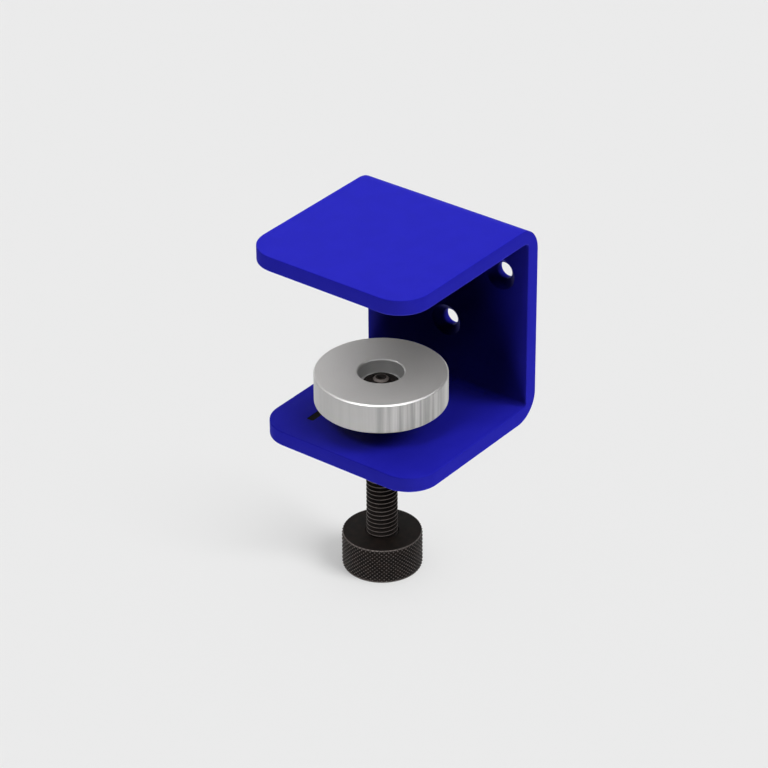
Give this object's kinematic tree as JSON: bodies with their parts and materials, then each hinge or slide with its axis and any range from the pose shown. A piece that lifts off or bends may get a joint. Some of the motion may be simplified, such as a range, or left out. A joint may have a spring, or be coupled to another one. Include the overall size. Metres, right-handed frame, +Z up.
{
  "type": "c clamp",
  "caption": "Desk-edge clamp: bent flat-plate C bracket with a threaded spindle, a knurled head below and a round swivel pressure pad above the lower jaw.",
  "frame": {"origin": "where the screw axis meets the gripping face, the underside of the upper jaw", "axes": "+Z up along the screw axis, +X along the width of the jaws, +Y from the open mouth towards the back wall"},
  "size_m": [0.062, 0.066, 0.115],
  "materials": {
    "bracket": "matte royal-blue powder coat on 5 mm steel plate",
    "pad": "bright turned stainless steel",
    "spindle": "black oxide",
    "head": "black oxide, diamond knurl",
    "washer": "black oxide",
    "ring": "phosphated spring steel"
  },
  "bodies": {
    "bracket": {"bracket": "bracket"},
    "carrier": {"pad_washer": "washer"},
    "screw": {"spindle": "spindle", "knurled_head": "head", "retaining_ring": "ring"},
    "pad": {"pad": "pad"}
  },
  "joints": [
    {"name": "screw_feed", "type": "slide", "parent": "bracket", "child": "carrier", "axis": [0, 0, 1], "range_m": [-0.0079, 0.0348]},
    {"name": "screw_turn", "type": "hinge", "parent": "carrier", "child": "screw", "pos_m": [0, 0, -0.05], "axis": [0, 0, 1], "range_deg": [-1920, 8385]},
    {"name": "pad_swivel", "type": "hinge", "parent": "carrier", "child": "pad", "pos_m": [0, 0, -0.045], "axis": [0, 0, 1], "continuous": true}
  ],
  "couplings": [
    {"joint": "screw_turn", "follows": "screw_feed", "rad_per_m": 4188.8}
  ]
}
